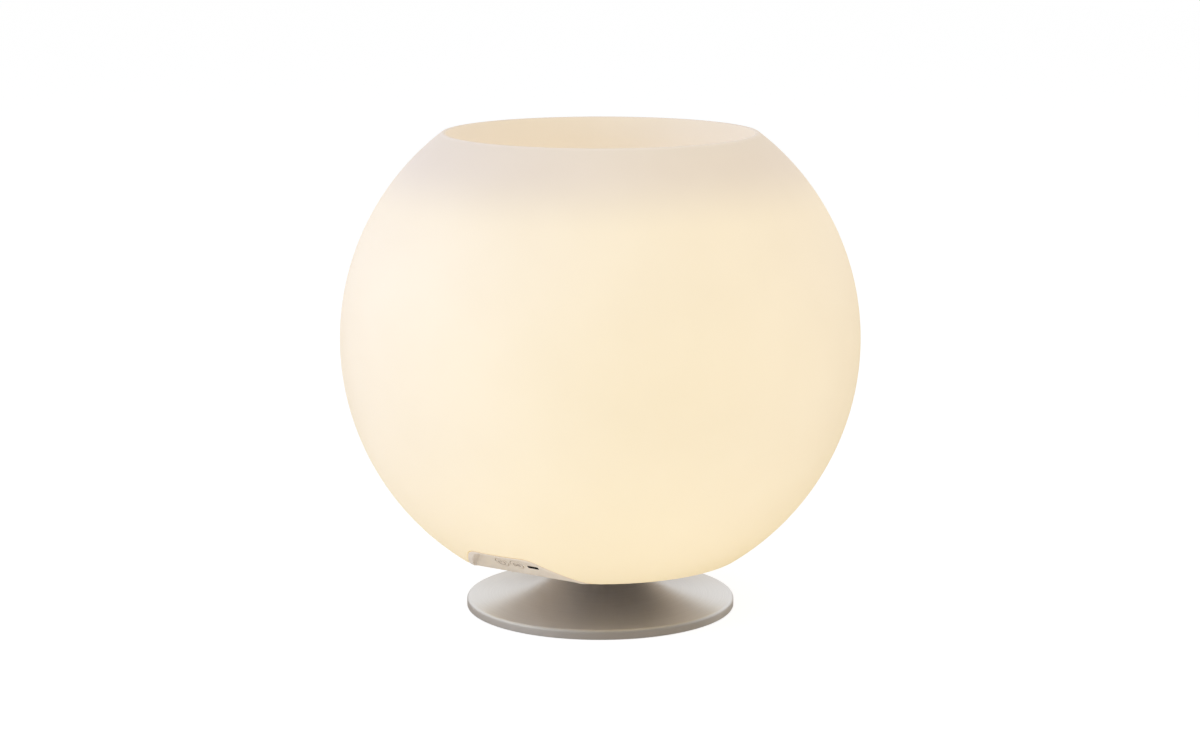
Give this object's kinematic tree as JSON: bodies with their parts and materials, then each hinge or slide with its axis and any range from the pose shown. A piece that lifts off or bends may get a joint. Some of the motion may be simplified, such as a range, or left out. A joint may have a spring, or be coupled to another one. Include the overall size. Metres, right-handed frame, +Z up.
{
  "type": "speaker globe light",
  "caption": "Opal ball lamp with an open top over an ice bucket, a down-firing speaker inside, a control panel in its lower edge and a flared brushed metal foot.",
  "frame": {"origin": "on the table, under the middle of the foot", "axes": "+Z up along the axis of the ball and foot, -Y towards the control panel"},
  "size_m": [0.3099, 0.3098, 0.2873],
  "materials": {
    "opal_shell": "satin translucent",
    "opal_liner": "satin translucent",
    "beige_plastic": "fine matt moulding",
    "button_plastic": "fine matt moulding",
    "brushed_metal": "fine brushed satin",
    "soft_rubber": "matt",
    "steel_fasteners": "zinc plated",
    "circuit_board": "solder mask",
    "white_board": "white solder mask",
    "chip_plastic": "moulded",
    "lamp_chip": "phosphor",
    "diffuser": "opal",
    "cell_sleeve": "shrink sleeve",
    "foam": "foam",
    "speaker_steel": "black painted",
    "ferrite": "ferrite",
    "plain_steel": "zinc plated",
    "cone_paper": "coated paper",
    "coil_former": "wound wire",
    "spider_cloth": "impregnated cloth",
    "mesh_cloth": "fine mesh",
    "socket_metal": "stamped"
  },
  "bodies": {
    "lamp": {"globe_shade": "opal_shell", "ice_bucket": "opal_liner", "bucket_pad": "soft_rubber", "foot": "brushed_metal", "foot_pad": "soft_rubber", "foot_screws": "steel_fasteners", "bottom_housing": "beige_plastic", "housing_gasket": "soft_rubber", "housing_screws": "steel_fasteners", "control_panel": "beige_plastic", "panel_screws": "steel_fasteners", "switch_bodies": "chip_plastic", "control_board": "circuit_board", "control_board_screws": "steel_fasteners", "charge_socket_shell": "socket_metal", "charge_socket_tongue": "chip_plastic", "module_cover": "beige_plastic", "cover_gasket": "soft_rubber", "cover_screws": "steel_fasteners", "led_board": "white_board", "led_screws": "steel_fasteners", "leds": "lamp_chip", "light_ring": "diffuser", "battery_cells": "cell_sleeve", "battery_pads": "foam", "main_board": "circuit_board", "board_components": "chip_plastic", "main_board_screws": "steel_fasteners", "speaker_gasket": "foam", "speaker_surround": "soft_rubber", "speaker_frame": "speaker_steel", "speaker_screws": "steel_fasteners", "speaker_spider": "spider_cloth", "top_plate": "plain_steel", "magnet_ring": "ferrite", "yoke": "plain_steel", "grille_mesh": "mesh_cloth"},
    "light_key": {"light_button": "button_plastic", "light_plunger": "chip_plastic"},
    "sound_key": {"sound_button": "button_plastic", "sound_plunger": "chip_plastic"},
    "cone": {"speaker_cone": "cone_paper", "dust_cap": "cone_paper", "voice_coil": "coil_former"}
  },
  "joints": [
    {"name": "light_press", "type": "slide", "parent": "lamp", "child": "light_key", "axis": [0, 0.6691, 0.7431], "range_m": [0, 0.0005], "stiffness_N_per_m": 2000},
    {"name": "sound_press", "type": "slide", "parent": "lamp", "child": "sound_key", "axis": [0, 0.6691, 0.7431], "range_m": [0, 0.0005], "stiffness_N_per_m": 2000},
    {"name": "cone_stroke", "type": "slide", "parent": "lamp", "child": "cone", "axis": [0, 0, 1], "range_m": [-0.002, 0.002], "stiffness_N_per_m": 1500, "deforming": ["speaker_surround", "speaker_spider"]}
  ]
}
